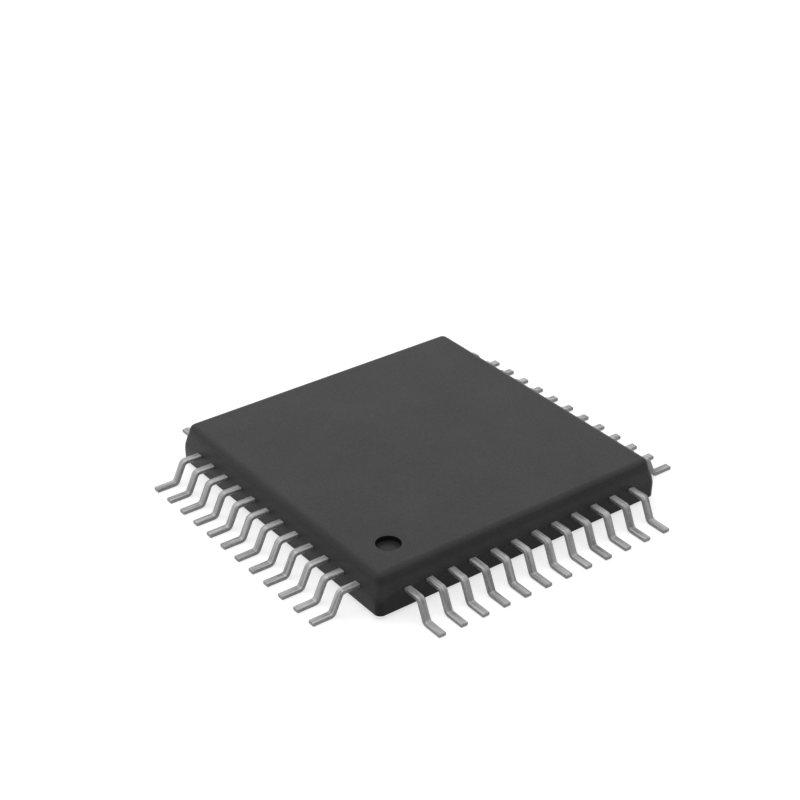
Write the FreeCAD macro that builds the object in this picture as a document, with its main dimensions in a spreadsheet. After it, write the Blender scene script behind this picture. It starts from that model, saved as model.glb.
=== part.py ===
import FreeCAD, Part
import math
import os
import Sketcher

# Thin quad flat pack chip with forty-eight gull-wing leads, standing top side up on its feet.
# The origin is the middle of the package on the plane that the feet stand on. +Z is up.
# Leads are numbered anticlockwise seen from above. Lead 1 is on the -Y side, beside the corner
# with the round index mark.
# Lengths are in millimetres and angles in degrees.

Vector = FreeCAD.Vector

# Driving dimensions
SIZES = [
    ("leads_per_side", 12),
    ("lead_pitch", 0.5),
    ("lead_width", 0.165),
    ("lead_thickness", 0.08),
    ("shoulder_flat", 0.307),
    ("bend_radius", 0.06),
    ("leg_lean", 24.8),
    ("foot_flat", 0.394),
    ("end_margin", 0.665),
    ("standoff", 0.08),
    ("lower_half", 0.343),
    ("upper_half", 0.497),
    ("lower_draft", 1.0),
    ("upper_draft", 12.0),
    ("parting_corner", 0.14),
    ("underside_corner", 0.14),
    ("top_face_corner", 0.02),
    ("top_edge_round", 0.155),
    ("underside_edge_round", 0.015),
    ("index_diameter", 0.49),
    ("index_depth", 0.11),
    ("index_inset", 0.845),
    ("root_depth", 0.25),
    ("tip_gap", 0.25),
    ("tie_width", 0.20),
    ("tie_gap", 0.15),
    ("tie_cover", 0.15),
    ("tie_run", 0.25),
    ("paddle_border", 0.60),
    ("paddle_drop", 0.12),
    ("die_side", 3.00),
    ("die_thickness", 0.18),
    ("attach_thickness", 0.02),
    ("attach_border", 0.05),
    ("pad_inset", 0.10),
    ("pad_margin", 0.40),
    ("wire_diameter", 0.025),
    ("loop_height", 0.10),
    ("loop_reach", 0.45),
    ("stitch_inset", 0.15),
]

# Sizes worked out from the driving dimensions
DERIVED = [
    ("body_side", "=(leads_per_side - 1) * lead_pitch + 2 * end_margin"),
    ("parting_height", "=standoff + lower_half"),
    ("lead_top", "=parting_height + lead_thickness"),
    ("body_top", "=parting_height + upper_half"),
    ("top_side", "=body_side - 2 * upper_half * tan(upper_draft)"),
    ("underside_side", "=body_side - 2 * lower_half * tan(lower_draft)"),
    ("top_corner", "=top_face_corner + top_edge_round"),
    ("knee_x", "=body_side / 2 + shoulder_flat"),
    ("root_x", "=body_side / 2 - root_depth"),
    ("paddle_side", "=die_side + 2 * paddle_border"),
    ("paddle_under", "=parting_height - paddle_drop"),
    ("attach_under", "=paddle_under + lead_thickness"),
    ("die_under", "=attach_under + attach_thickness"),
    ("die_top", "=die_under + die_thickness"),
    ("tip_x", "=paddle_side / 2 + tip_gap"),
    ("tip_pitch", "=(2 * (tip_x - tie_gap - tie_width / sqrt(2)) - lead_width) / (leads_per_side - 1)"),
    ("pad_pitch", "=(die_side - 2 * pad_margin) / (leads_per_side - 1)"),
    ("paddle_reach", "=paddle_side / sqrt(2)"),
    ("rise_start", "=paddle_reach + tie_run"),
    ("rise_end", "=rise_start + paddle_drop"),
    ("tie_end", "=(body_side / 2 - parting_corner) * sqrt(2) + parting_corner - tie_cover"),
    ("tie_mitre", "=lead_thickness * tan(22.5)"),
]

# The four sides of the package, anticlockwise from the one with lead 1: name and turn
SIDES = [("front", -90), ("right", 0), ("back", 90), ("left", 180)]

# A corner of the package lies half way round from one side to the next
CORNER_TURN = 180 / len(SIDES)

# A wire's round section is drawn four-sided, with the same area
WIRE_FACES = 4

# Lengths that differ by less than this count as equal
NEAR = 1e-6

doc = FreeCAD.newDocument("quad_flat_pack")
sheet = doc.addObject("Spreadsheet::Sheet", "sizes")


def fill_sheet():
    """Write the driving dimensions and then the derived ones, each with its alias."""
    for row, (alias, value) in enumerate(SIZES + DERIVED, start=1):
        sheet.set(f"A{row}", alias)
        sheet.set(f"B{row}", str(value))
        sheet.setAlias(f"B{row}", alias)
    doc.recompute()


def worth(expression):
    """The present value of an expression of the sheet's aliases."""
    return float(sheet.evalExpression(expression))


def plane_of(body, role):
    """One of a body's own origin planes."""
    return next(plane for plane in body.Origin.OriginFeatures if plane.Role == role)


def new_body(label, turn=0):
    """An empty body, turned about the upright axis by so many degrees."""
    body = doc.addObject("PartDesign::Body", label)
    body.Label = label
    body.Placement = FreeCAD.Placement(Vector(), FreeCAD.Rotation(Vector(0, 0, 1), turn))
    return body


def new_sketch(body, name, role, **shifts):
    """A sketch on one of the body's planes, shifted in the plane's axes by bound amounts."""
    sketch = body.newObject("Sketcher::SketchObject", name)
    sketch.AttachmentSupport = [(plane_of(body, role), "")]
    sketch.MapMode = "FlatFace"
    for axis, expression in shifts.items():
        sketch.setExpression(f"AttachmentOffset.Base.{axis}", expression)
    return sketch


def dimension(sketch, name, expression, kind, *places):
    """A named constraint whose value follows the sheet."""
    index = sketch.addConstraint(Sketcher.Constraint(kind, *places, worth(expression)))
    sketch.renameConstraint(index, name)
    sketch.setExpression(f"Constraints.{name}", expression)


def chain(sketch, points):
    """Straight lines from each point to the next and back to the first, joined end to end."""
    count = len(points)
    for i in range(count):
        sketch.addGeometry(Part.LineSegment(points[i], points[(i + 1) % count]), False)
    for i in range(count):
        sketch.addConstraint(Sketcher.Constraint("Coincident", i, 2, (i + 1) % count, 1))


def polygon(sketch, corners):
    """A closed polygon with each corner bound to a pair of expressions."""
    chain(sketch, [Vector(worth(x), worth(y), 0) for x, y in corners])
    for i, (x, y) in enumerate(corners):
        dimension(sketch, f"x{i}", x, "DistanceX", -1, 1, i, 1)
        dimension(sketch, f"y{i}", y, "DistanceY", -1, 1, i, 1)


def pad(body, name, sketch, length, side_type="One side"):
    """Raise a sketch by a bound length."""
    feature = body.newObject("PartDesign::Pad", name)
    feature.Profile = sketch
    feature.SideType = side_type
    feature.setExpression("Length", length)
    return feature


def rounded_square(sketch, side, corner):
    """A square about the sketch's origin with four equal round corners."""
    half = worth(side) / 2
    radius = worth(corner)
    straight = half - radius
    turns = [FreeCAD.Rotation(Vector(0, 0, 1), 90 * i) for i in range(4)]
    for turn in turns:
        start = turn.multVec(Vector(-straight, -half, 0))
        end = turn.multVec(Vector(straight, -half, 0))
        sketch.addGeometry(Part.LineSegment(start, end), False)
    for i, turn in enumerate(turns):
        circle = Part.Circle(turn.multVec(Vector(straight, -straight, 0)), Vector(0, 0, 1), radius)
        first = math.radians(90 * i - 90)
        sketch.addGeometry(Part.ArcOfCircle(circle, first, first + math.pi / 2), False)
    for i in range(4):
        sketch.addConstraint(Sketcher.Constraint("Tangent", i, 2, 4 + i, 1))
        sketch.addConstraint(Sketcher.Constraint("Tangent", 4 + i, 2, (i + 1) % 4, 1))
    for i, way in enumerate(["Horizontal", "Vertical", "Horizontal", "Vertical"]):
        sketch.addConstraint(Sketcher.Constraint(way, i))
    for i in range(5, 8):
        sketch.addConstraint(Sketcher.Constraint("Equal", 4, i))
    sketch.addConstraint(Sketcher.Constraint("Symmetric", 4, 3, 6, 3, -1, 1))
    dimension(sketch, "corner", corner, "Radius", 4)
    dimension(sketch, "width", side, "DistanceX", 3, 1, 1, 1)
    dimension(sketch, "depth", side, "DistanceY", 0, 1, 2, 1)


def edges_at(shape, height):
    """The names of the edges that lie wholly at a height."""
    return [
        f"Edge{i}"
        for i, edge in enumerate(shape.Edges, start=1)
        if max(abs(point.z - height) for point in edge.discretize(3)) < NEAR
    ]


def round_rim(body, name, base, height, radius):
    """Round the rim of the face that lies at a height."""
    doc.recompute()
    feature = body.newObject("PartDesign::Fillet", name)
    feature.Base = (base, edges_at(base.Shape, worth(height)))
    feature.setExpression("Radius", radius)
    return feature


def moulding_blank():
    """The moulded block before the lead frame is taken out of it.

    Its walls lean in above and below the parting plane, at the lead frame's underside. The rim
    of the top face is well rounded, and a round flat-bottomed recess marks the corner by lead 1.
    """
    body = new_body("moulding_blank")
    levels = [
        ("top", "sizes.body_top", "sizes.top_side", "sizes.top_corner"),
        ("parting", "sizes.parting_height", "sizes.body_side", "sizes.parting_corner"),
        ("underside", "sizes.standoff", "sizes.underside_side", "sizes.underside_corner"),
    ]
    outlines = []
    for name, height, side, corner in levels:
        sketch = new_sketch(body, f"{name}_outline", "XY_Plane", z=height)
        rounded_square(sketch, side, corner)
        outlines.append(sketch)
    doc.recompute()
    block = body.newObject("PartDesign::AdditiveLoft", "drafted_block")
    block.Profile = outlines[0]
    block.Sections = outlines[1:]
    block.Ruled = True
    rim = round_rim(body, "top_rim", block, "sizes.body_top", "sizes.top_edge_round")
    foot = round_rim(body, "underside_rim", rim, "sizes.standoff", "sizes.underside_edge_round")
    doc.recompute()
    index = new_sketch(body, "index_circle", "XY_Plane", z="sizes.body_top")
    middle = "sizes.body_side / 2 - sizes.index_inset"
    centre = Vector(-worth(middle), -worth(middle), 0)
    index.addGeometry(Part.Circle(centre, Vector(0, 0, 1), worth("sizes.index_diameter") / 2), False)
    dimension(index, "diameter", "sizes.index_diameter", "Diameter", 0)
    dimension(index, "inset_x", middle, "DistanceX", 0, 3, -1, 1)
    dimension(index, "inset_y", middle, "DistanceY", 0, 3, -1, 1)
    recess = body.newObject("PartDesign::Pocket", "index_recess")
    recess.Profile = index
    recess.setExpression("Length", "sizes.index_depth")
    doc.recompute()
    if recess.Shape.Volume >= foot.Shape.Volume:
        raise RuntimeError("the index recess cuts nothing")
    return body


def gull_wing(sketch):
    """The side view of a lead's formed strip: shoulder, leaning leg and flat foot.

    Each bend has one centre for its inner and its outer skin, so the strip keeps its thickness
    all the way. The leg is tangent to both bends, and its lean sets how far out the foot starts.
    """
    thick = worth("sizes.lead_thickness")
    inner = worth("sizes.bend_radius")
    outer = inner + thick
    lean = math.radians(worth("sizes.leg_lean"))
    square_to_leg = Vector(math.cos(lean), math.sin(lean), 0)
    knee = Vector(worth("sizes.knee_x"), worth("sizes.parting_height") - inner, 0)
    ankle = Vector(0, outer, 0)
    ankle.x = knee.x + (inner + outer + (knee.y - ankle.y) * math.sin(lean)) / math.cos(lean)
    root = worth("sizes.root_x")
    toe = ankle.x + worth("sizes.foot_flat")
    skin = [
        (Vector(root, knee.y + outer, 0), Vector(knee.x, knee.y + outer, 0)),
        (knee, outer, lean, math.pi / 2),
        (knee + square_to_leg * outer, ankle - square_to_leg * inner),
        (ankle, inner, math.pi + lean, 3 * math.pi / 2),
        (Vector(ankle.x, thick, 0), Vector(toe, thick, 0)),
        (Vector(toe, thick, 0), Vector(toe, 0, 0)),
        (Vector(toe, 0, 0), Vector(ankle.x, 0, 0)),
        (ankle, outer, math.pi + lean, 3 * math.pi / 2),
        (ankle - square_to_leg * outer, knee + square_to_leg * inner),
        (knee, inner, lean, math.pi / 2),
        (Vector(knee.x, knee.y + inner, 0), Vector(root, knee.y + inner, 0)),
        (Vector(root, knee.y + inner, 0), Vector(root, knee.y + outer, 0)),
    ]
    for piece in skin:
        if len(piece) == 2:
            sketch.addGeometry(Part.LineSegment(*piece), False)
        else:
            centre, radius, first, last = piece
            circle = Part.Circle(centre, Vector(0, 0, 1), radius)
            sketch.addGeometry(Part.ArcOfCircle(circle, first, last), False)
    tangent_ends = [
        (0, 2, 1, 2), (1, 1, 2, 1), (2, 2, 3, 1), (3, 2, 4, 1),
        (6, 2, 7, 2), (7, 1, 8, 1), (8, 2, 9, 1), (9, 2, 10, 1),
    ]
    square_ends = [(4, 2, 5, 1), (5, 2, 6, 1), (10, 2, 11, 1), (11, 2, 0, 1)]
    shared_centres = [(1, 3, 9, 3), (3, 3, 7, 3)]
    for ends in tangent_ends:
        sketch.addConstraint(Sketcher.Constraint("Tangent", *ends))
    for ends in square_ends + shared_centres:
        sketch.addConstraint(Sketcher.Constraint("Coincident", *ends))
    for level in (0, 4, 6, 10):
        sketch.addConstraint(Sketcher.Constraint("Horizontal", level))
    for upright in (5, 11):
        sketch.addConstraint(Sketcher.Constraint("Vertical", upright))
    sketch.addConstraint(Sketcher.Constraint("PointOnObject", 6, 1, -1))
    dimension(sketch, "knee_bend", "sizes.bend_radius", "Radius", 9)
    dimension(sketch, "ankle_bend", "sizes.bend_radius", "Radius", 3)
    dimension(sketch, "shoulder_thickness", "sizes.lead_thickness", "DistanceY", 10, 2, 0, 1)
    dimension(sketch, "foot_thickness", "sizes.lead_thickness", "DistanceY", 6, 1, 4, 2)
    dimension(sketch, "shoulder_height", "sizes.parting_height", "DistanceY", -1, 1, 10, 1)
    dimension(sketch, "root", "sizes.root_x", "DistanceX", -1, 1, 0, 1)
    dimension(sketch, "knee", "sizes.knee_x", "DistanceX", -1, 1, 1, 3)
    dimension(sketch, "foot", "sizes.foot_flat", "DistanceX", 3, 3, 4, 2)
    lean_index = sketch.addConstraint(Sketcher.Constraint("Angle", 8, math.pi / 2 + lean))
    sketch.renameConstraint(lean_index, "lean")
    sketch.setExpression("Constraints.lean", "90 + sizes.leg_lean")


def lead(number, place, turn):
    """One lead: its formed strip outside and a flat finger inside that fans in to the die."""
    body = new_body(f"lead_{number:02d}", turn)
    step = f"({place} - (sizes.leads_per_side - 1) / 2)"
    row = f"{step} * sizes.lead_pitch"
    sweep = f"{step} * (sizes.tip_pitch - sizes.lead_pitch)"
    half = "sizes.lead_width / 2"
    side = new_sketch(body, f"strip_side_{number:02d}", "XZ_Plane", z=f"-({row})")
    gull_wing(side)
    pad(body, f"strip_{number:02d}", side, "sizes.lead_width", "Symmetric")
    plan = new_sketch(body, f"finger_plan_{number:02d}", "XY_Plane", y=row, z="sizes.parting_height")
    polygon(plan, [
        ("sizes.tip_x", f"{sweep} - {half}"),
        ("sizes.root_x", f"-{half}"),
        ("sizes.root_x", half),
        ("sizes.tip_x", f"{sweep} + {half}"),
    ])
    pad(body, f"finger_{number:02d}", plan, "sizes.lead_thickness")
    return body


def die_paddle():
    """The plate that carries the die, with a tie bar from each of its corners.

    It is cut from the same sheet as the leads and pressed down a step, so each tie bar rises
    from the plate's corner to the lead plane and runs on towards the package's corner.
    """
    body = new_body("die_paddle", CORNER_TURN)
    plan = new_sketch(body, "paddle_plan", "XY_Plane", z="sizes.paddle_under")
    plate_corners = [
        ("sizes.paddle_reach", "0"),
        ("0", "sizes.paddle_reach"),
        ("-sizes.paddle_reach", "0"),
        ("0", "-sizes.paddle_reach"),
    ]
    polygon(plan, plate_corners)
    pad(body, "paddle_plate", plan, "sizes.lead_thickness")
    side = new_sketch(body, "tie_side", "XZ_Plane")
    low = "sizes.paddle_under"
    high = "sizes.parting_height"
    inner_end = "sizes.paddle_reach - sizes.tie_width"
    polygon(side, [
        (inner_end, low),
        ("sizes.rise_start", low),
        ("sizes.rise_end", high),
        ("sizes.tie_end", high),
        ("sizes.tie_end", f"{high} + sizes.lead_thickness"),
        ("sizes.rise_end - sizes.tie_mitre", f"{high} + sizes.lead_thickness"),
        ("sizes.rise_start - sizes.tie_mitre", f"{low} + sizes.lead_thickness"),
        (inner_end, f"{low} + sizes.lead_thickness"),
    ])
    bar = pad(body, "tie_bar", side, "sizes.tie_width", "Symmetric")
    doc.recompute()
    ring = body.newObject("PartDesign::PolarPattern", "tie_bars")
    ring.Originals = [bar]
    ring.Axis = (plane_of(body, "Z_Axis"), [""])
    ring.Angle = 360
    ring.Occurrences = len(plate_corners)
    body.Tip = ring
    return body


def square_slab(label, side, thickness, under):
    """A square slab about the upright axis, standing at a height."""
    slab = doc.addObject("Part::Box", label)
    slab.Label = label
    slab.setExpression("Length", side)
    slab.setExpression("Width", side)
    slab.setExpression("Height", thickness)
    slab.setExpression("Placement.Base.x", f"-({side}) / 2")
    slab.setExpression("Placement.Base.y", f"-({side}) / 2")
    slab.setExpression("Placement.Base.z", under)
    return slab


def mitred_wire(path, radius):
    """A wire of the four-sided section along a path of straight runs, mitred where it turns.

    The first and last faces are level, so they lie flat on what the wire is bonded to.
    """
    ring = [
        path[0] + Vector(radius * math.cos(angle), radius * math.sin(angle), 0)
        for angle in (2 * math.pi * k / WIRE_FACES for k in range(WIRE_FACES))
    ]
    rings = [ring]
    runs = [(path[k + 1] - path[k]).normalize() for k in range(len(path) - 1)]
    for k, run in enumerate(runs):
        last = k == len(runs) - 1
        cut = Vector(0, 0, 1) if last else run + runs[k + 1]
        ring = [point + run * ((path[k + 1] - point).dot(cut) / run.dot(cut)) for point in ring]
        rings.append(ring)
    faces = [Part.Face(Part.makePolygon(end + end[:1])) for end in (rings[0], rings[-1])]
    for low, high in zip(rings, rings[1:]):
        for k in range(WIRE_FACES):
            after = (k + 1) % WIRE_FACES
            corners = [low[k], low[after], high[after], high[k], low[k]]
            faces.append(Part.Face(Part.makePolygon(corners)))
    solid = Part.Solid(Part.Shell(faces))
    solid.fix(NEAR, NEAR, NEAR)
    return solid


def bond_wires(name, turn):
    """One side's bond wires, each up from a die pad, over, and down onto its own finger."""
    round_radius = worth("sizes.wire_diameter") / 2
    corner = 2 * math.pi / WIRE_FACES
    radius = round_radius * math.sqrt(corner / math.sin(corner))
    count = round(worth("sizes.leads_per_side"))
    stitch = worth("sizes.stitch_inset / (sizes.root_x - sizes.tip_x)")
    pad_x = worth("sizes.die_side / 2 - sizes.pad_inset")
    top = worth("sizes.die_top + sizes.loop_height")
    wires = []
    for place in range(count):
        step = place - (count - 1) / 2
        pitch = worth("sizes.tip_pitch") * (1 - stitch) + worth("sizes.lead_pitch") * stitch
        start = Vector(pad_x, step * worth("sizes.pad_pitch"), worth("sizes.die_top"))
        end = Vector(worth("sizes.tip_x + sizes.stitch_inset"), step * pitch, worth("sizes.lead_top"))
        along = worth("sizes.loop_reach") / (end.x - start.x)
        shoulder = Vector(start.x, start.y, top)
        crest = Vector(start.x + (end.x - start.x) * along, start.y + (end.y - start.y) * along, top)
        wires.append(mitred_wire([start, shoulder, crest, end], radius))
    feature = doc.addObject("Part::Feature", f"bond_wires_{name}")
    feature.Label = f"bond_wires_{name}"
    feature.Shape = Part.makeCompound(wires)
    feature.Placement = FreeCAD.Placement(Vector(), FreeCAD.Rotation(Vector(0, 0, 1), turn))
    return feature


def package_body(blank, embedded):
    """The moulding: the block less everything that it was moulded round."""
    inside = doc.addObject("Part::MultiFuse", "embedded")
    inside.Shapes = embedded
    inside.Refine = False
    body = doc.addObject("Part::Cut", "package_body")
    body.Label = "package_body"
    body.Base = blank
    body.Tool = inside
    body.Refine = False
    return body


def check(pieces):
    """Stop if any object failed, or any piece is empty or not a valid solid."""
    for thing in doc.Objects:
        if "Invalid" in thing.State or "Error" in thing.State:
            raise RuntimeError(f"{thing.Label} failed: {thing.State}")
    for piece in pieces:
        if piece.Shape.isNull() or not piece.Shape.isValid() or not piece.Shape.Solids:
            raise RuntimeError(f"{piece.Label} has no valid solid")


fill_sheet()
count = round(worth("sizes.leads_per_side"))
leads = [
    lead(side * count + place + 1, place, turn)
    for side, (_, turn) in enumerate(SIDES)
    for place in range(count)
]
paddle = die_paddle()
attach_side = "sizes.die_side + 2 * sizes.attach_border"
attach = square_slab("die_attach", attach_side, "sizes.attach_thickness", "sizes.attach_under")
die = square_slab("silicon_die", "sizes.die_side", "sizes.die_thickness", "sizes.die_under")
wires = [bond_wires(name, turn) for name, turn in SIDES]
blank = moulding_blank()
doc.recompute()
embedded = leads + [paddle, attach, die] + wires
moulding = package_body(blank, embedded)
doc.recompute()

pieces = [moulding] + embedded
check(pieces)
os.makedirs("parts", exist_ok=True)
for piece in pieces:
    piece.Shape.exportStep(f"parts/{piece.Label}.step")
    print(piece.Label, len(piece.Shape.Solids), "solids", round(piece.Shape.Volume, 5), "mm3")
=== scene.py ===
import math

import bpy
import numpy as np
from mathutils import Matrix, Vector


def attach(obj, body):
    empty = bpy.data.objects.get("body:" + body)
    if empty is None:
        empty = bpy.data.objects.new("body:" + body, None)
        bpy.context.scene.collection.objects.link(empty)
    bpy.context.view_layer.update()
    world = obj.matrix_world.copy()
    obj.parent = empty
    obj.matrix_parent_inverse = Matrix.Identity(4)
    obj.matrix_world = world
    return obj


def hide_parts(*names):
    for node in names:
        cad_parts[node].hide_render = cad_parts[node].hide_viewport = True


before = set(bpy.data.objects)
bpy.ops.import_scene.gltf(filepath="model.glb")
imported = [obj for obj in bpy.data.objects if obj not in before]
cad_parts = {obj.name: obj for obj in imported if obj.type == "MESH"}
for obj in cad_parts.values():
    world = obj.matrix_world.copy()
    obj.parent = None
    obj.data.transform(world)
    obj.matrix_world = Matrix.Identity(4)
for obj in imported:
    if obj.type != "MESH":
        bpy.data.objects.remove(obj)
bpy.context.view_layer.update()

MM = 0.001

# The moulding, in millimetres and degrees
STANDOFF = 0.08
PARTING = 0.423
TOP = 0.92
HALF_SIDE = 3.415
LOWER_DRAFT = 1.0
UPPER_DRAFT = 12.0
PARTING_CORNER = 0.14
TOP_CORNER = 0.175
UNDERSIDE_CORNER = 0.14
TOP_ROUND = 0.155
UNDERSIDE_ROUND = 0.015
PARTING_BLEND = 0.09
INDEX_CENTRE = -2.57
INDEX_RADIUS = 0.245
INDEX_DEPTH = 0.11
INDEX_LIP = 0.012
INDEX_TAPER = 0.004
INDEX_FLOOR_ROUND = 0.008
INDEX_FLOOR_RADII = (0.20, 0.12, 0.05)

# How much of the recess's polish and painted shade the other places have, and how far the rim's band of
# painted shade reaches
FLOOR_POLISH_AND_SHADE = 0.5
RIM_POLISH_AND_SHADE = 0.5
RIM_POLISH_AND_SHADE_REACH = 0.07
LOWER_WALL_POLISH_AND_SHADE = 0.95

# The moulding's grid: degrees between the rays from the recess and where they start, the least
# cosine at which a ray meets a side, how near the side's end its place may be, the least gap
# between two places, places along a side and round a corner, and rings up the rounds and walls.
# The shares are of the way across the underside, through the blend at the parting plane, and over
# the top face to the recess.
RAY_STEP = 6
RAY_START = 1.5
LEAST_FACING = 0.01
RAY_REACH = 0.985
LEAST_GAP = 0.004
SIDE_PLACES = 15
CORNER_PLACES = 13
UNDERSIDE_STEPS = 7
LOWER_WALL_STEPS = 7
UPPER_WALL_STEPS = 6
RIM_STEPS = 17
LIP_STEPS = 5
FLOOR_ROUND_STEPS = 6
UNDERSIDE_SHARES = (0.25, 0.6, 0.9, 0.985, 0.997)
PARTING_SHARES = (0.25, 0.5, 0.75)
FACE_SHARES = (0.006, 0.03, 0.15, 0.4, 0.7, 0.9, 0.975)

# The leads, in millimetres. KNEE is the middle of the knee's bend, as its distance out and height.
PER_SIDE = 12
PITCH = 0.5
LEAD_WIDTH = 0.165
LEAD_THICKNESS = 0.08
LEAD_EDGE = 0.026
MIDDLE_BEND = 0.10
KNEE = (3.722, 0.363)
LEAN = math.radians(24.8)
ANKLE_HEIGHT = 0.14
FOOT_FLAT = 0.394
ROOT = 3.165
TIP = 2.35
TIP_PITCH = 0.359
TOE_ROUND = 0.018
TOE_START = 0.05
SIDE_TURNS = [-90, 0, 90, 180]

# A lead's rings: places of those on the finger and shoulder, places on the foot past the ankle,
# and steps round a bend, down the leg, round an edge and round the toe
SHOULDER_PLACES = (TIP, TIP + 0.03, 2.7, ROOT, 3.3, 3.42, 3.55, 3.68)
FOOT_PLACES = (0.04, 0.15, 0.27)
BEND_STEPS = 10
LEG_STEPS = 6
EDGE_STEPS = 5
TOE_STEPS = 5

# The photograph's camera: angles in degrees, lengths in millimetres, and how near and how far it
# sees in metres
TURN = -36.833
TILT = 30.028
ROLL = 0.084
DISTANCE = 35.967
AIM_HEIGHT = 0.8
AIM_RIGHT = -0.3084
AIM_UP = 0.9256
FOCAL_PIXELS = 1789.58
PHOTO_SIDE = 800
SENSOR = 36.0
NEAREST = 0.001
FARTHEST = 10.0

# The surround as light, white being 1: the way it is brightest, the cosines to that way where it is
# darkest and brightest, and its levels there
BRIGHT_WAY = (-0.04, 0.36, 0.93)
SKY_SPAN = (-0.45, 0.60)
SKY_BRIGHT = 1.08
SKY_DARK = 0.01

# The heights, as sines, over which the white background gives way to that light in gloss
BACKDROP_FADE = (0.0, 0.08)

# One soft lamp, in millimetres, and the floor: its tone as a surface, its glow and its rings
LAMP_LEVEL = 1.65
LAMP_PLACE = (-8, 50, 104)
LAMP_SIDE = 60
FLOOR_TONE = 0.45
FLOOR_GLOW = 0.66
FLOOR_TURNS = 96
FLOOR_RINGS = (20, 200, 1500)

# The patterns: features to the metre, or to the millimetre along and across a lead, and how far
# each lead's streaks are moved on from the last one's. Noise keeps mostly between two levels.
NOISE_LOW = 0.3
NOISE_HIGH = 0.7
MOULD_GRAIN = 42000
MOULD_CLOUDS = 900
MOULD_SHEEN = 15000
TIN_MOTTLE = 26000
TIN_STREAKS = (0.9, 17, 1)
STREAK_SHIFT = 1.7
ROLLED_STREAKS = (1200, 26000, 26000)
COPPER_TARNISH = 1400
SILVER_FLAKES = 60000.0
EPOXY_SHEEN = 30000
CIRCUIT_BLOCKS = 1000.0
CIRCUIT_LINES = (90000, 9000, 9000)
DRAWING_MARKS = 52000

# How deep each pattern is, in metres
GRAIN_DEPTH = 0.0000022
STREAK_DEPTH = 0.0000030
ROLLING_DEPTH = 0.0000015
FLAKE_DEPTH = 0.0000015
CIRCUIT_DEPTH = 0.0000004
DRAWING_DEPTH = 0.0000008


def mesh_piece(name, points, quads, fans, charts=None):
    """A smooth mesh object from an array of points in millimetres, quads and end fans.

    charts gives each face corner its place on the piece's own map, in the order of the faces.
    """
    faces = quads.tolist()
    for fan in fans:
        faces += fan.tolist()
    mesh = bpy.data.meshes.new(name)
    mesh.from_pydata((points * MM).tolist(), [], faces)
    mesh.polygons.foreach_set("use_smooth", np.ones(len(faces), dtype=bool))
    if charts is not None:
        layer = mesh.uv_layers.new(name="strip")
        layer.data.foreach_set("uv", charts.astype(np.float32).ravel())
    mesh.update()
    piece = bpy.data.objects.new(name, mesh)
    bpy.context.scene.collection.objects.link(piece)
    return piece


def mark(piece, name, values):
    """Store a number for each point of a piece, for its material to read."""
    layer = piece.data.attributes.new(name, "FLOAT", "POINT")
    layer.data.foreach_set("value", np.asarray(values, dtype=np.float32))


def wrapped_quads(rows, columns):
    """Quads of a grid that closes on itself along its columns, numbered row by row."""
    row = np.arange(rows - 1)[:, None] * columns
    here = np.arange(columns)[None, :]
    after = (here + 1) % columns
    corners = [row + here, row + after, row + columns + after, row + columns + here]
    return np.stack(corners, axis=-1).reshape(-1, 4)


def end_fan(ring_start, columns, pole, facing):
    """Triangles from an end ring of a grid to a pole point.

    facing is -1 at the grid's first ring and 1 at its last.
    """
    here = ring_start + np.arange(columns)
    after = ring_start + (np.arange(columns) + 1) % columns
    ends = np.full(columns, pole)
    order = [after, here, ends] if facing < 0 else [here, after, ends]
    return np.stack(order, axis=-1)


def wall_reach(height, start, end, rounding):
    """How far out a wall stands at a height above or below the parting plane.

    The wall is a straight line from start, at the parting plane, to end, at the face, each given
    as reach and height. An arc of radius rounding, tangent to the wall and to the level face,
    takes over where the line meets it.
    """
    reach_0, height_0 = start
    reach_1, height_1 = end
    rise = abs(height_1 - height_0)
    climb = np.abs(height - height_0)
    lean = math.atan((reach_0 - reach_1) / rise)
    line = reach_0 - climb * math.tan(lean)
    centre_climb = rise - rounding
    touch_climb = centre_climb + rounding * math.sin(lean)
    centre_reach = reach_0 - touch_climb * math.tan(lean) - rounding * math.cos(lean)
    over = np.clip(climb - centre_climb, 0, rounding)
    arc = centre_reach + np.sqrt(rounding ** 2 - over ** 2)
    return np.where(climb < touch_climb, line, arc)


def outline_at(height, face_half, face_corner, face_height, rounding):
    """The level outline at each height: the middle of its corner arcs and their radius.

    The wall is worked out square to a side and across a corner. A rounded square that reaches
    as far as both has one corner radius r and one arc centre a: side = a + r, and
    diagonal = a * sqrt(2) + r.
    """
    diagonal = math.sqrt(2)
    parting_diagonal = (HALF_SIDE - PARTING_CORNER) * diagonal + PARTING_CORNER
    face_diagonal = (face_half - face_corner) * diagonal + face_corner
    side = wall_reach(height, (HALF_SIDE, PARTING), (face_half, face_height), rounding)
    across = wall_reach(height, (parting_diagonal, PARTING), (face_diagonal, face_height), rounding)
    radius = (side * diagonal - across) / (diagonal - 1)
    return side - radius, radius


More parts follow.
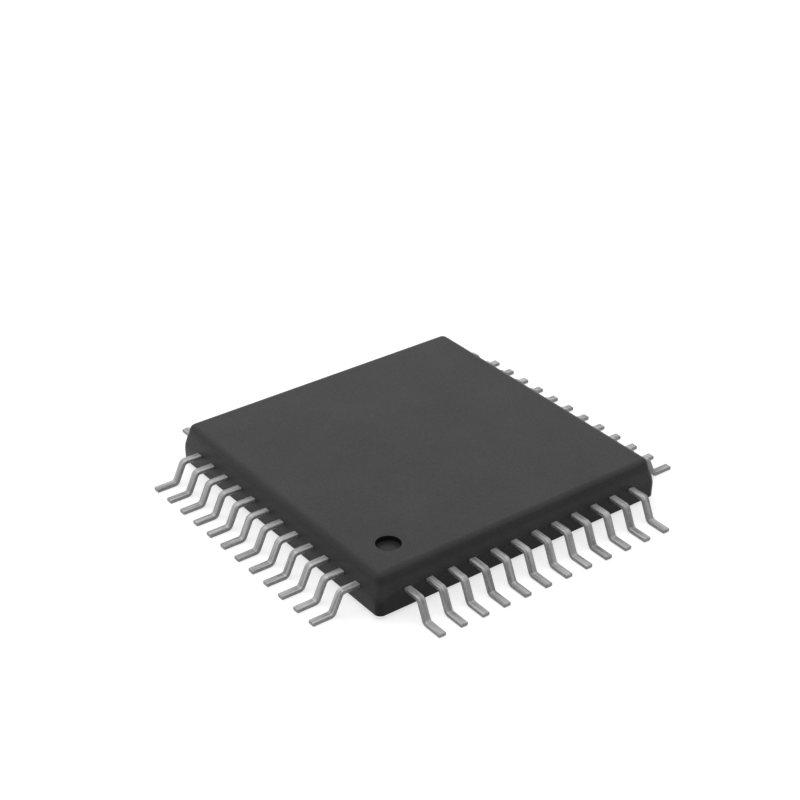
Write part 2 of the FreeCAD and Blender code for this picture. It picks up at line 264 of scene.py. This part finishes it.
def outline_columns(arc_centre, face_half):
    """The places round the moulding's outline, each as an arc centre's signs and a normal.

    A straight side has even places and one on each of many even rays from the index recess, so
    the recess's own rim comes out round. Each corner has an arc of even turns.
    """
    rays = np.radians(np.arange(0, 360, RAY_STEP) + RAY_START)
    ways = np.stack([np.cos(rays), np.sin(rays)], axis=-1)
    centre = np.array([INDEX_CENTRE, INDEX_CENTRE])
    signs = []
    normals = []
    for side in range(4):
        turn = math.radians(90 * side)
        out = np.array([math.sin(turn), -math.cos(turn)])
        along = np.array([math.cos(turn), math.sin(turn)])
        facing = ways @ out
        length = (face_half - centre @ out) / np.where(facing > LEAST_FACING, facing, np.nan)
        hits = centre @ along + length * (ways @ along)
        hits = hits[np.abs(hits) < RAY_REACH * arc_centre] / arc_centre
        places = np.concatenate([np.linspace(-1, 1, SIDE_PLACES)[1:-1], hits])
        places = np.sort(places)
        places = places[np.concatenate([[True], np.diff(places) > LEAST_GAP])]
        signs.append(places[:, None] * along + out)
        normals.append(np.repeat(out[None, :], len(places), axis=0))
        bend = turn - math.pi / 2 + np.linspace(0, math.pi / 2, CORNER_PLACES)
        corner = along + out
        signs.append(np.repeat(corner[None, :], len(bend), axis=0))
        normals.append(np.stack([np.cos(bend), np.sin(bend)], axis=-1))
    return np.concatenate(signs), np.concatenate(normals)


def with_heights(level, heights):
    """Level rings of points, each given its own height."""
    height = np.repeat(heights[:, None], level.shape[1], axis=1)
    return np.concatenate([level, height[..., None]], axis=-1)


def moulded_block():
    """The moulded package: drafted walls, rounded rims and a round recess by lead 1.

    Each ring is the outline at one height: arc-centre signs times the arc centre's distance,
    plus the outward normal times the corner radius. A parabola blends the two walls where they
    meet at the parting plane. The rings run from the middle of the underside, out and up the
    walls, and in over the top face, where they turn from the outline into circles round the
    index recess and follow its wall down to the middle of its floor.

    Each ring also has its share of polish and painted shade, a much darker colour and a lower
    roughness: most in the recess from its lip down and on the lower wall, some on the recess's
    floor, and a band that fades away from the foot of the rim's round by a bell curve. The darker
    colour is painted shade in the recess, on the lower wall and in that band below the rim.
    """
    top_half = HALF_SIDE - (TOP - PARTING) * math.tan(math.radians(UPPER_DRAFT))
    under_half = HALF_SIDE - (PARTING - STANDOFF) * math.tan(math.radians(LOWER_DRAFT))
    top_face = (top_half, TOP_CORNER, TOP, TOP_ROUND)
    under_face = (under_half, UNDERSIDE_CORNER, STANDOFF, UNDERSIDE_ROUND)
    flat_centre, flat_radius = outline_at(np.array([TOP]), *top_face)
    signs, normals = outline_columns(float(flat_centre[0]), float((flat_centre + flat_radius)[0]))
    columns = len(signs)

    under_turn = np.linspace(math.pi / 2, 0, UNDERSIDE_STEPS)
    under_heights = STANDOFF + UNDERSIDE_ROUND * (1 - np.sin(under_turn))
    wall_foot = STANDOFF + UNDERSIDE_ROUND
    lower_wall = np.linspace(wall_foot, PARTING - PARTING_BLEND, LOWER_WALL_STEPS)[1:]
    upper_wall = np.linspace(PARTING + PARTING_BLEND, TOP - TOP_ROUND, UPPER_WALL_STEPS)[:-1]
    top_turn = np.linspace(0, math.pi / 2, RIM_STEPS)
    top_heights = TOP - TOP_ROUND * (1 - np.sin(top_turn))
    low = np.concatenate([under_heights, lower_wall])
    high = np.concatenate([upper_wall, top_heights])
    low_centre, low_radius = outline_at(low, *under_face)
    high_centre, high_radius = outline_at(high, *top_face)
    heights = np.concatenate([low, [PARTING], high])
    centres = np.concatenate([low_centre, [HALF_SIDE - PARTING_CORNER], high_centre])
    radii = np.concatenate([low_radius, [PARTING_CORNER], high_radius])
    level = signs[None] * centres[:, None, None] + normals[None] * radii[:, None, None]
    walls = with_heights(level, heights)
    below, edge, above = walls[len(low) - 1:len(low) + 2]
    share = np.array(PARTING_SHARES)[:, None, None]
    bend = below * (1 - share) ** 2 + 2 * edge * share * (1 - share) + above * share ** 2
    walls = np.concatenate([walls[:len(low)], bend, walls[len(low) + 1:]])

    shrink = np.array(UNDERSIDE_SHARES)
    shrink = np.stack([shrink, shrink, np.ones(len(shrink))], axis=-1)
    under_rings = walls[0][None] * shrink[:, None, :]

    rim = walls[-1, :, :2]
    away = rim - INDEX_CENTRE
    away = away / np.linalg.norm(away, axis=1)[:, None]
    lip = np.linspace(0, math.pi / 2, LIP_STEPS)
    cove = np.linspace(0, math.pi / 2, FLOOR_ROUND_STEPS)
    recess_radii = np.concatenate([
        INDEX_RADIUS + INDEX_LIP * (1 - np.sin(lip)),
        [INDEX_RADIUS - INDEX_TAPER / 2],
        INDEX_RADIUS - INDEX_TAPER - INDEX_FLOOR_ROUND * (1 - np.cos(cove)),
        INDEX_FLOOR_RADII,
    ])
    recess_heights = np.concatenate([
        TOP - INDEX_LIP * (1 - np.cos(lip)),
        [TOP - INDEX_DEPTH / 2],
        TOP - INDEX_DEPTH + INDEX_FLOOR_ROUND * (1 - np.sin(cove)),
        np.full(len(INDEX_FLOOR_RADII), TOP - INDEX_DEPTH),
    ])
    recess = with_heights(INDEX_CENTRE + away[None] * recess_radii[:, None, None], recess_heights)
    blend = np.array(FACE_SHARES)[:, None, None]
    face = walls[-1][None] * (1 - blend) + recess[0][None] * blend

    rings = np.concatenate([under_rings, walls, face, recess])
    rows = len(rings)
    poles = [[0, 0, STANDOFF], [INDEX_CENTRE, INDEX_CENTRE, TOP - INDEX_DEPTH]]
    points = np.concatenate([rings.reshape(-1, 3), poles])
    fans = [
        end_fan(0, columns, rows * columns, -1),
        end_fan((rows - 1) * columns, columns, rows * columns + 1, 1),
    ]
    piece = mesh_piece("moulded_block", points, wrapped_quads(rows, columns), fans)

    # The polish and painted shade start at the last two rings of the lip
    plain_lip = len(lip) - 2
    floor_rings = 1 + len(INDEX_FLOOR_RADII)
    # Painted shade with polish: a darker colour and lower roughness on the lower wall, through the
    # parting blend, in a band below the rim and in the recess
    ring_polish_and_shade = np.concatenate([
        np.zeros(len(under_rings)),
        np.full(len(low), LOWER_WALL_POLISH_AND_SHADE),
        LOWER_WALL_POLISH_AND_SHADE * (1 - share.ravel()),
        RIM_POLISH_AND_SHADE * np.exp(-((high - TOP + TOP_ROUND) / RIM_POLISH_AND_SHADE_REACH) ** 2),
        np.zeros(len(face) + plain_lip),
        np.ones(len(recess) - plain_lip - floor_rings),
        np.full(floor_rings, FLOOR_POLISH_AND_SHADE),
    ])
    mark(piece, "polish_and_painted_shade", np.concatenate([np.repeat(ring_polish_and_shade, columns), [0, FLOOR_POLISH_AND_SHADE]]))
    return piece


def strip_section():
    """The strip's section: a rectangle whose four corners are arcs, anticlockwise.

    A point is its corner's arc centre plus the edge's radius times the cosine and sine of its
    angle. It gives the distances across the strip and the heights.
    """
    turns = np.radians(np.linspace(0, 90, EDGE_STEPS))
    across = LEAD_WIDTH / 2 - LEAD_EDGE
    up = LEAD_THICKNESS / 2 - LEAD_EDGE
    quarters = np.arange(4) * math.pi / 2
    angle = (quarters[:, None] + turns[None]).ravel()
    sign_x = np.repeat([1, -1, -1, 1], len(turns))
    sign_y = np.repeat([1, 1, -1, -1], len(turns))
    return sign_x * across + LEAD_EDGE * np.cos(angle), sign_y * up + LEAD_EDGE * np.sin(angle)


def strip_path():
    """The middle line of a lead in its own side view, its upward normals, and where the toe ends.

    It runs level from the tip inside the moulding, turns down about the knee, leans along the
    leg, turns out about the ankle and ends level at the toe. The leg is tangent to both arcs:
    the ankle stands out from the knee by what the two arcs and the lean take up.
    """
    knee = np.array(KNEE)
    fall = knee[1] - ANKLE_HEIGHT
    run = (2 * MIDDLE_BEND + fall * math.sin(LEAN)) / math.cos(LEAN)
    ankle = np.array([knee[0] + run, ANKLE_HEIGHT])
    shoulder_x = np.array(SHOULDER_PLACES)
    shoulder = np.stack([shoulder_x, np.full(len(shoulder_x), knee[1] + MIDDLE_BEND)], axis=-1)
    bend = np.linspace(math.pi / 2, LEAN, BEND_STEPS)
    arc = MIDDLE_BEND * np.stack([np.cos(bend), np.sin(bend)], axis=-1)
    knee_arc = knee + arc
    ankle_arc = ankle - arc[::-1]
    share = np.linspace(0, 1, LEG_STEPS)[1:-1, None]
    leg = knee_arc[-1] * (1 - share) + ankle_arc[0] * share
    toe = ankle[0] + FOOT_FLAT
    foot_x = np.concatenate([ankle[0] + np.array(FOOT_PLACES), [toe - TOE_START, toe - TOE_ROUND]])
    foot = np.stack([foot_x, np.full(len(foot_x), ANKLE_HEIGHT - MIDDLE_BEND)], axis=-1)
    line = np.concatenate([shoulder, knee_arc, leg, ankle_arc, foot])
    upright = math.pi / 2
    tilt = np.concatenate([
        np.full(len(shoulder_x), upright),
        bend,
        np.full(len(share), LEAN),
        bend[::-1],
        np.full(len(foot_x), upright),
    ])
    return line, np.stack([np.cos(tilt), np.sin(tilt)], axis=-1), toe


def formed_lead(number, place, turn):
    """One lead: the section carried along the middle line, with a slightly rounded toe.

    A point is the line's point plus the section's height along the line's normal, and its
    distance across is the section's own plus the lead's place in the row. Inside the moulding
    that place shifts evenly with the distance to the root, so the fingers fan in.

    The strip's own map is the distance along the line and the distance round the section. The
    mark "cut" is 1 on the sheared sides and the toe, and 0 on the rolled faces.
    """
    line, normal, toe = strip_path()
    across, up = strip_section()
    easing = np.radians(np.linspace(0, 90, TOE_STEPS))[1:]
    end_x = toe - TOE_ROUND * (1 - np.sin(easing))
    end_line = np.stack([end_x, np.full(len(end_x), line[-1, 1])], axis=-1)
    line = np.concatenate([line, end_line])
    normal = np.concatenate([normal, np.repeat(normal[-1:], len(end_x), axis=0)])
    inset = np.concatenate([np.zeros(len(line) - len(end_x)), TOE_ROUND * (1 - np.cos(easing))])
    wide = 1 - inset / (LEAD_WIDTH / 2)
    thick = 1 - inset / (LEAD_THICKNESS / 2)

    step = place - (PER_SIDE - 1) / 2
    shift = np.clip((ROOT - line[:, 0]) / (ROOT - TIP), 0, 1) * step * (TIP_PITCH - PITCH)
    lift = up[None] * thick[:, None]
    x = line[:, :1] + normal[:, :1] * lift
    z = line[:, 1:] + normal[:, 1:] * lift
    y = across[None] * wide[:, None] + shift[:, None] + step * PITCH
    angle = math.radians(turn)
    turned_x = x * math.cos(angle) - y * math.sin(angle)
    turned_y = x * math.sin(angle) + y * math.cos(angle)
    rings = np.stack([turned_x, turned_y, z], axis=-1)
    rows, columns = rings.shape[:2]
    poles = [rings[0].mean(axis=0), rings[-1].mean(axis=0)]
    points = np.concatenate([rings.reshape(-1, 3), poles])
    fans = [
        end_fan(0, columns, rows * columns, -1),
        end_fan((rows - 1) * columns, columns, rows * columns + 1, 1),
    ]

    travel = np.concatenate([[0], np.cumsum(np.linalg.norm(np.diff(line, axis=0), axis=1))])
    around = np.hypot(np.diff(across, append=across[0]), np.diff(up, append=up[0]))
    around = np.concatenate([[0], np.cumsum(around)])
    offset = STREAK_SHIFT * number
    row = np.repeat(np.arange(rows - 1), columns)
    column = np.tile(np.arange(columns), rows - 1)
    chart = np.stack([
        np.stack([travel[row] + offset, around[column]], axis=-1),
        np.stack([travel[row] + offset, around[column + 1]], axis=-1),
        np.stack([travel[row + 1] + offset, around[column + 1]], axis=-1),
        np.stack([travel[row + 1] + offset, around[column]], axis=-1),
    ], axis=1).reshape(-1, 2)
    ends = np.full((len(fans) * 3 * columns, 2), offset)
    chart = np.concatenate([chart, ends])
    name = f"formed_lead_{number:02d}"
    piece = mesh_piece(name, points, wrapped_quads(rows, columns), fans, chart)

    side_share = np.clip((np.abs(across) - LEAD_WIDTH / 2 + LEAD_EDGE) / LEAD_EDGE, 0, 1)
    cut = np.maximum(side_share[None], (inset / TOE_ROUND)[:, None]).ravel()
    mark(piece, "cut", np.concatenate([cut, [1, 1]]))
    return piece


class Finish:
    """A material with a Principled shader, and short ways to add its nodes."""

    def __init__(self, name, **values):
        self.material = bpy.data.materials.new(name)
        self.material.use_nodes = True
        self.tree = self.material.node_tree
        self.shader = self.tree.nodes["Principled BSDF"]
        for socket, value in values.items():
            self.shader.inputs[socket.replace("_", " ")].default_value = value

    def node(self, kind, **inputs):
        """A node of a kind, with its named inputs set or linked."""
        made = self.tree.nodes.new(kind)
        for socket, value in inputs.items():
            self.feed(made, socket.replace("_", " "), value)
        return made

    def feed(self, node, socket, value):
        """Link a socket to the input, or set the input to a value."""
        if isinstance(value, bpy.types.NodeSocket):
            self.tree.links.new(value, node.inputs[socket])
        else:
            node.inputs[socket].default_value = value

    def place(self, stretch=(1, 1, 1), chart=None):
        """Object coordinates, or the piece's own map, stretched."""
        if chart:
            source = self.tree.nodes.new("ShaderNodeUVMap")
            source.uv_map = chart
            vector = source.outputs["UV"]
        else:
            vector = self.tree.nodes.new("ShaderNodeTexCoord").outputs["Object"]
        mapping = self.node("ShaderNodeMapping", Vector=vector, Scale=stretch)
        return mapping.outputs["Vector"]

    def noise(self, vector, scale, detail=2.0, rough=0.5):
        """Soft noise of a scale, with its detail and that detail's strength."""
        made = self.node("ShaderNodeTexNoise", Vector=vector, Scale=scale)
        self.feed(made, "Detail", detail)
        self.feed(made, "Roughness", rough)
        return made.outputs["Fac"]

    def spread(self, value, low, high):
        """What noise gives, spread from low to high."""
        made = self.node("ShaderNodeMapRange", Value=value, To_Min=low, To_Max=high)
        made.inputs["From Min"].default_value = NOISE_LOW
        made.inputs["From Max"].default_value = NOISE_HIGH
        return made.outputs["Result"]

    def greys(self, value, stops):
        """A ramp of greys: stops are a place and a level each."""
        return self.tones(value, [(place, (level, level, level)) for place, level in stops])

    def tones(self, value, stops):
        """A ramp of colours: stops are a place and a colour each."""
        ramp = self.tree.nodes.new("ShaderNodeValToRGB")
        ramp.color_ramp.elements[0].position = stops[0][0]
        ramp.color_ramp.elements[0].color = (*stops[0][1], 1)
        ramp.color_ramp.elements[1].position = stops[-1][0]
        ramp.color_ramp.elements[1].color = (*stops[-1][1], 1)
        for position, colour in stops[1:-1]:
            ramp.color_ramp.elements.new(position).color = (*colour, 1)
        self.tree.links.new(value, ramp.inputs["Fac"])
        return ramp.outputs["Color"]

    def attribute(self, name):
        """A number that the mesh carries at each of its points."""
        made = self.tree.nodes.new("ShaderNodeAttribute")
        made.attribute_name = name
        return made.outputs["Fac"]

    def blend(self, share, first, second):
        """A number between two, by a share from 0 to 1. A Mix node's numbers are inputs 2 and 3."""
        made = self.tree.nodes.new("ShaderNodeMix")
        self.tree.links.new(share, made.inputs["Factor"])
        self.tree.links.new(first, made.inputs[2])
        self.tree.links.new(second, made.inputs[3])
        return made.outputs[0]

    def mix(self, share, first, second):
        """A colour between two, by a share from 0 to 1. A Mix node's colours are inputs 6 and 7."""
        made = self.tree.nodes.new("ShaderNodeMix")
        made.data_type = "RGBA"
        self.tree.links.new(share, made.inputs["Factor"])
        self.tree.links.new(first, made.inputs[6])
        self.tree.links.new(second, made.inputs[7])
        return made.outputs[2]

    def surface(self, colour, roughness, height, depth, strength):
        """Link what varies over the surface to the shader. depth is the bump's, in metres."""
        bump = self.node("ShaderNodeBump", Height=height, Distance=depth, Strength=strength)
        self.feed(self.shader, "Base Color", colour)
        self.feed(self.shader, "Roughness", roughness)
        self.feed(self.shader, "Normal", bump.outputs["Normal"])
        return self.material


def moulding_compound():
    """Black filled epoxy off a spark-eroded mould: fine grain, faint clouds, soft sheen, and painted
    shade where the mesh is marked.
    """
    finish = Finish("moulding_compound", IOR=1.5, Specular_IOR_Level=0.13)
    place = finish.place()
    grain = finish.noise(place, MOULD_GRAIN, detail=3.0, rough=0.6)
    clouds = finish.noise(place, MOULD_CLOUDS, detail=3.0)
    dark = finish.greys(grain, [(NOISE_LOW, 0.027), (NOISE_HIGH, 0.044)])
    light = finish.greys(grain, [(NOISE_LOW, 0.032), (NOISE_HIGH, 0.051)])
    eroded = finish.mix(finish.spread(clouds, low=0, high=1), dark, light)
    matt = finish.spread(finish.noise(place, MOULD_SHEEN), low=0.34, high=0.44)
    # Painted shade: where the mesh's mark is high, the colour is much darker and the roughness lower,
    # in the recess, on the lower wall and in a band below the rim
    polish_and_painted_shade = finish.attribute("polish_and_painted_shade")
    polished_painted_shade = finish.greys(grain, [(NOISE_LOW, 0.006), (NOISE_HIGH, 0.010)])
    smooth = finish.spread(clouds, low=0.16, high=0.22)
    colour = finish.mix(polish_and_painted_shade, eroded, polished_painted_shade)
    roughness = finish.blend(polish_and_painted_shade, matt, smooth)
    return finish.surface(colour, roughness, grain, GRAIN_DEPTH, strength=0.6)


def tin_plate():
    """Matte tin over the formed strip: streaks along it, a mottled grain, and duller cut sides."""
    finish = Finish("tin_plate", Metallic=0.36)
    streaks = finish.noise(finish.place(TIN_STREAKS, "strip"), 1.0, detail=3.0, rough=0.6)
    mottle = finish.noise(finish.place(), TIN_MOTTLE, detail=3.0, rough=0.6)
    streaked = finish.greys(streaks, [(0.36, 0.14), (0.62, 0.53)])
    mottled = finish.greys(mottle, [(0.35, 0.30), (0.65, 0.41)])
    rolled = finish.mix(finish.spread(mottle, low=0.1, high=0.6), streaked, mottled)
    sheared = finish.greys(mottle, [(0.35, 0.18), (0.65, 0.27)])
    colour = finish.mix(finish.attribute("cut"), rolled, sheared)
    roughness = finish.spread(streaks, low=0.26, high=0.40)
    return finish.surface(colour, roughness, streaks, STREAK_DEPTH, strength=0.7)


def rolled_copper():
    """The paddle's copper alloy sheet: rolled streaks and slight tarnish."""
    finish = Finish("rolled_copper", Metallic=1.0)
    rolling = finish.noise(finish.place(ROLLED_STREAKS), 1.0, detail=3.0, rough=0.6)
    tarnish = finish.noise(finish.place(), COPPER_TARNISH, detail=3.0)
    fresh = finish.tones(rolling, [(NOISE_LOW, (0.66, 0.33, 0.19)), (NOISE_HIGH, (0.80, 0.44, 0.27))])
    worn = finish.tones(rolling, [(NOISE_LOW, (0.48, 0.24, 0.15)), (NOISE_HIGH, (0.62, 0.34, 0.22))])
    colour = finish.mix(finish.spread(tarnish, low=0, high=1), fresh, worn)
    roughness = finish.spread(rolling, low=0.28, high=0.42)
    return finish.surface(colour, roughness, rolling, ROLLING_DEPTH, strength=0.6)


def silver_epoxy():
    """Die attach: grey epoxy full of silver flakes."""
    finish = Finish("silver_epoxy", Metallic=0.5)
    place = finish.place()
    cells = finish.node("ShaderNodeTexVoronoi", Vector=place, Scale=SILVER_FLAKES)
    flakes = cells.outputs["Distance"]
    colour = finish.tones(flakes, [(0.1, (0.62, 0.61, 0.59)), (0.7, (0.38, 0.37, 0.36))])
    roughness = finish.spread(finish.noise(place, EPOXY_SHEEN), low=0.4, high=0.6)
    return finish.surface(colour, roughness, flakes, FLAKE_DEPTH, strength=0.5)


def etched_silicon():
    """The die: dark polished silicon with fine blocks of circuitry."""
    finish = Finish("etched_silicon", Metallic=0.2, IOR=3.4)
    place = finish.place()
    blocks = finish.tree.nodes.new("ShaderNodeTexBrick")
    finish.feed(blocks, "Vector", place)
    finish.feed(blocks, "Color1", (0.10, 0.11, 0.15, 1))
    finish.feed(blocks, "Color2", (0.16, 0.14, 0.18, 1))
    finish.feed(blocks, "Mortar", (0.24, 0.25, 0.26, 1))
    finish.feed(blocks, "Scale", CIRCUIT_BLOCKS)
    finish.feed(blocks, "Mortar Size", 0.012)
    lines = finish.noise(finish.place(CIRCUIT_LINES), 1.0)
    roughness = finish.spread(lines, low=0.12, high=0.28)
    return finish.surface(blocks.outputs["Color"], roughness, lines, CIRCUIT_DEPTH, strength=0.4)


def drawn_gold():
    """Bond wire: bright gold with faint drawing marks."""
    finish = Finish("drawn_gold", Metallic=1.0)
    marks = finish.noise(finish.place(), DRAWING_MARKS)
    colour = finish.tones(marks, [(NOISE_LOW, (0.93, 0.65, 0.24)), (NOISE_HIGH, (1.0, 0.77, 0.36))])
    roughness = finish.spread(marks, low=0.16, high=0.28)
    return finish.surface(colour, roughness, marks, DRAWING_DEPTH, strength=0.4)


def worked_out(tree, operation, first, second):
    """Two numbers brought together in a Math node."""
    node = tree.nodes.new("ShaderNodeMath")
    node.operation = operation
    tree.links.new(first, node.inputs[0])
    tree.links.new(second, node.inputs[1])
    return node.outputs[0]


def ray_share(tree, *kinds):
    """1 for a ray of one of the kinds named, and 0 for any other."""
    rays = tree.nodes.new("ShaderNodeLightPath")
    share = rays.outputs[kinds[0]]
    for kind in kinds[1:]:
        share = worked_out(tree, "MAXIMUM", share, rays.outputs[kind])
    return share


def white_ground():
    """A matt pale floor that glows white to the camera, in gloss and through glass alone."""
    finish = Finish(
        "white_ground",
        Base_Color=(FLOOR_TONE, FLOOR_TONE, FLOOR_TONE, 1),
        Roughness=0.9,
        Specular_IOR_Level=0.0,
        Emission_Color=(1, 1, 1, 1),
    )
    shown = ray_share(finish.tree, "Is Camera Ray", "Is Glossy Ray", "Is Transmission Ray")
    glow = finish.node("ShaderNodeMapRange", Value=shown, To_Max=FLOOR_GLOW)
    finish.feed(finish.shader, "Emission Strength", glow.outputs["Result"])
    return finish.material


def paint(obj, material):
    """Give every material slot of an object the material, adding one if it has none."""
    if not obj.material_slots:
        obj.data.materials.append(material)
    for place in obj.material_slots:
        place.material = material


def ground():
    """A round flat floor under the feet: rings of even turns round the origin, filled in."""
    turns = np.linspace(0, 2 * math.pi, FLOOR_TURNS + 1)[:-1]
    rings = np.array(FLOOR_RINGS)
    level = np.stack([np.cos(turns), np.sin(turns)], axis=-1)[None] * rings[:, None, None]
    points = with_heights(level, np.zeros(len(rings))).reshape(-1, 3)
    points = np.concatenate([points, [[0, 0, 0]]])
    quads = wrapped_quads(len(rings), len(turns))[:, ::-1]
    piece = mesh_piece("ground", points, quads, [end_fan(0, len(turns), len(points) - 1, 1)])
    paint(piece, white_ground())


def soft_lamp(name, aim_from, side, level):
    """A square soft lamp aimed at the part. level is how bright its face is, 1 being white."""
    lamp = bpy.data.lights.new(name, "AREA")
    lamp.shape = "SQUARE"
    lamp.size = side * MM
    lamp.energy = math.pi * level * (side * MM) ** 2
    holder = bpy.data.objects.new(name, lamp)
    place = Vector(aim_from) * MM
    holder.matrix_world = Matrix.Translation(place) @ place.to_track_quat("Z", "Y").to_matrix().to_4x4()
    bpy.context.scene.collection.objects.link(holder)


def sky():
    """A pale surround, plain white to the camera, that lights the part more from one way.

    As light, its level follows the cosine between a direction and the bright way. Close over the
    horizon, where it is the background that shows behind the part, gloss and glass see it white.
    """
    world = bpy.data.worlds.new("surround")
    world.use_nodes = True
    tree = world.node_tree
    background = tree.nodes["Background"]
    background.inputs["Color"].default_value = (1, 1, 1, 1)
    cosine = tree.nodes.new("ShaderNodeVectorMath")
    cosine.operation = "DOT_PRODUCT"
    cosine.inputs[1].default_value = BRIGHT_WAY
    way = tree.nodes.new("ShaderNodeTexCoord").outputs["Generated"]
    tree.links.new(way, cosine.inputs[0])
    light = tree.nodes.new("ShaderNodeMapRange")
    light.inputs["From Min"].default_value = SKY_SPAN[0]
    light.inputs["From Max"].default_value = SKY_SPAN[1]
    light.inputs["To Min"].default_value = SKY_DARK
    light.inputs["To Max"].default_value = SKY_BRIGHT
    tree.links.new(cosine.outputs["Value"], light.inputs["Value"])
    parts = tree.nodes.new("ShaderNodeSeparateXYZ")
    tree.links.new(way, parts.inputs[0])
    low = tree.nodes.new("ShaderNodeMapRange")
    low.inputs["From Min"].default_value = BACKDROP_FADE[0]
    low.inputs["From Max"].default_value = BACKDROP_FADE[1]
    low.inputs["To Min"].default_value = 1.0
    low.inputs["To Max"].default_value = 0.0
    tree.links.new(parts.outputs["Z"], low.inputs["Value"])
    seen_in_gloss = ray_share(tree, "Is Glossy Ray", "Is Transmission Ray")
    mirrored = worked_out(tree, "MULTIPLY", seen_in_gloss, low.outputs["Result"])
    shown = worked_out(tree, "MAXIMUM", ray_share(tree, "Is Camera Ray"), mirrored)
    level = tree.nodes.new("ShaderNodeMapRange")
    tree.links.new(shown, level.inputs["Value"])
    tree.links.new(light.outputs["Result"], level.inputs["To Min"])
    tree.links.new(level.outputs["Result"], background.inputs["Strength"])
    bpy.context.scene.world = world


def photo_camera():
    """The camera that took the photograph, from its turn, tilt, roll, distance and aim.

    It stands back from its aim by the distance, on the way that turn and tilt give. The aim is
    a height on the part's axis, moved right and up in the picture.
    """
    turn = math.radians(TURN)
    tilt = math.radians(TILT)
    back = Vector((math.sin(turn) * math.cos(tilt), -math.cos(turn) * math.cos(tilt), math.sin(tilt)))
    right = (-back).cross(Vector((0, 0, 1))).normalized()
    up = back.cross(right)
    aim = Vector((0, 0, AIM_HEIGHT)) + right * AIM_RIGHT + up * AIM_UP
    roll = math.radians(ROLL)
    rolled_right = right * math.cos(roll) + up * math.sin(roll)
    rolled_up = up * math.cos(roll) - right * math.sin(roll)
    data = bpy.data.cameras.new("photo_camera")
    data.sensor_width = SENSOR
    data.lens = FOCAL_PIXELS / PHOTO_SIDE * SENSOR
    data.clip_start = NEAREST
    data.clip_end = FARTHEST
    camera = bpy.data.objects.new("photo_camera", data)
    axes = Matrix((rolled_right, rolled_up, back)).transposed().to_4x4()
    camera.matrix_world = Matrix.Translation((aim + back * DISTANCE) * MM) @ axes
    bpy.context.scene.collection.objects.link(camera)
    bpy.context.scene.camera = camera


photo_camera()
sky()
ground()
soft_lamp("soft_lamp", LAMP_PLACE, LAMP_SIDE, LAMP_LEVEL)
bpy.context.scene.view_settings.view_transform = "Standard"

block = moulded_block()
paint(block, moulding_compound())
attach(block, "root")
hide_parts("package_body")

plating = tin_plate()
for side, turn in enumerate(SIDE_TURNS):
    for place in range(PER_SIDE):
        number = side * PER_SIDE + place + 1
        strip = formed_lead(number, place, turn)
        paint(strip, plating)
        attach(strip, "root")
        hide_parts(f"lead_{number:02d}")

gold = drawn_gold()
INNER_FINISHES = {
    "die_paddle": rolled_copper(),
    "die_attach": silver_epoxy(),
    "silicon_die": etched_silicon(),
    "bond_wires_front": gold,
    "bond_wires_right": gold,
    "bond_wires_back": gold,
    "bond_wires_left": gold,
}
for node, finish in INNER_FINISHES.items():
    paint(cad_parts[node], finish)
